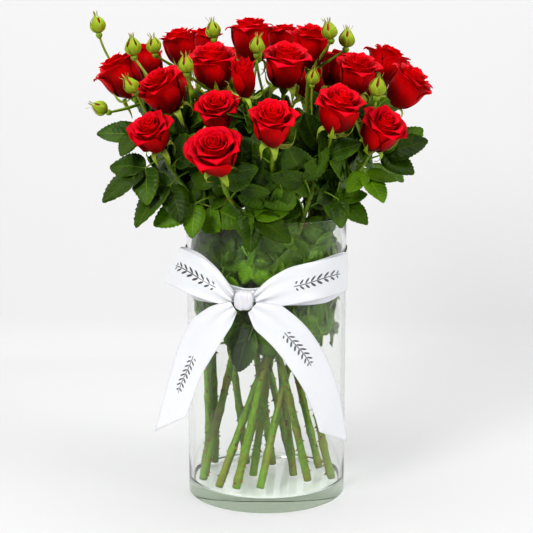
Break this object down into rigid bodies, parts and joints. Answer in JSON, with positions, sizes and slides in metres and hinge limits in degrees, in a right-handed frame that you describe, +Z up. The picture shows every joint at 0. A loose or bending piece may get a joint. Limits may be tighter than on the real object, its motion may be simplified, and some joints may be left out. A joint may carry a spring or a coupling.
{
  "type": "roses in a vase",
  "caption": "Spray roses with buds and leaves standing in a clear glass cylinder vase, tied with a wide satin ribbon bow.",
  "frame": {"origin": "middle of the vase's flat underside, on the surface it stands on", "axes": "+Z up along the vase's axis, -Y towards the side with the bow's knot, +X to the right seen from that side"},
  "size_m": [0.3118, 0.2824, 0.4529],
  "materials": {
    "glass": "clear, polished",
    "ribbon": "white satin with a soft sheen",
    "petal": "scarlet velvety petal",
    "stem": "fresh green bark and green sepals",
    "leaf": "deep green, softly glossy above and dull below"
  },
  "bodies": {
    "root": {"bloom_01a": "petal", "bloom_01b": "petal", "bloom_02a": "petal", "bloom_02b": "petal", "bloom_03a": "petal", "bloom_03b": "petal", "bloom_04a": "petal", "bloom_04b": "petal", "bloom_05a": "petal", "bloom_06a": "petal", "bloom_06b": "petal", "bloom_07a": "petal", "bloom_07b": "petal", "bloom_08a": "petal", "bloom_08b": "petal", "bloom_09a": "petal", "bloom_09b": "petal", "bloom_10a": "petal", "bloom_11a": "petal", "bloom_12a": "petal", "bloom_12b": "petal", "bloom_13a": "petal", "bloom_14a": "petal", "bloom_14b": "petal", "bloom_15a": "petal", "bloom_15b": "petal", "leaf_01": "leaf", "leaf_02": "leaf", "leaf_03": "leaf", "leaf_04": "leaf", "leaf_05": "leaf", "leaf_06": "leaf", "leaf_07": "leaf", "leaf_08": "leaf", "leaf_09": "leaf", "leaf_10": "leaf", "leaf_11": "leaf", "leaf_12": "leaf", "ribbon_band": "ribbon", "ribbon_knot": "ribbon", "ribbon_loop_left": "ribbon", "ribbon_loop_right": "ribbon", "ribbon_tail_left": "ribbon", "ribbon_tail_right": "ribbon", "stem_01": "stem", "stem_02": "stem", "stem_03": "stem", "stem_04": "stem", "stem_05": "stem", "stem_06": "stem", "stem_07": "stem", "stem_08": "stem", "stem_09": "stem", "stem_10": "stem", "stem_11": "stem", "stem_12": "stem", "stem_13": "stem", "stem_14": "stem", "stem_15": "stem", "vase": "glass"}
  },
  "joints": []
}
